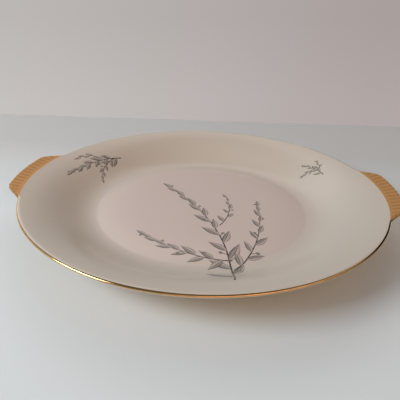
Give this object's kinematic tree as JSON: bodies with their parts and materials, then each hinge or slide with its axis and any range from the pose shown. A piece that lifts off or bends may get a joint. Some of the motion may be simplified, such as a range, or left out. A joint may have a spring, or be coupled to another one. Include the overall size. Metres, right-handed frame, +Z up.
{
  "type": "handled platter",
  "caption": "Round porcelain serving platter with a flat well, a broad sloping rim, a foot ring, ribbed gilt lug handles at the sides and a gilt line along the lip.",
  "frame": {"origin": "centre of the foot ring's resting face, on the surface that the platter stands on", "axes": "+Z up out of the well, +X towards the right handle, +Y towards the back"},
  "size_m": [0.3224, 0.3, 0.03],
  "materials": {
    "glazed_porcelain": "ivory gloss glaze",
    "bare_foot": "glazed sides, resting face wiped bare",
    "satin_gilding": "satin gold over ribbed porcelain",
    "bright_gilding": "bright gold over glazed porcelain"
  },
  "bodies": {
    "root": {"platter_body": "glazed_porcelain", "foot_ring": "bare_foot", "left_handle": "satin_gilding", "right_handle": "satin_gilding", "back_gilt_line": "bright_gilding", "front_gilt_line": "bright_gilding"}
  },
  "joints": []
}
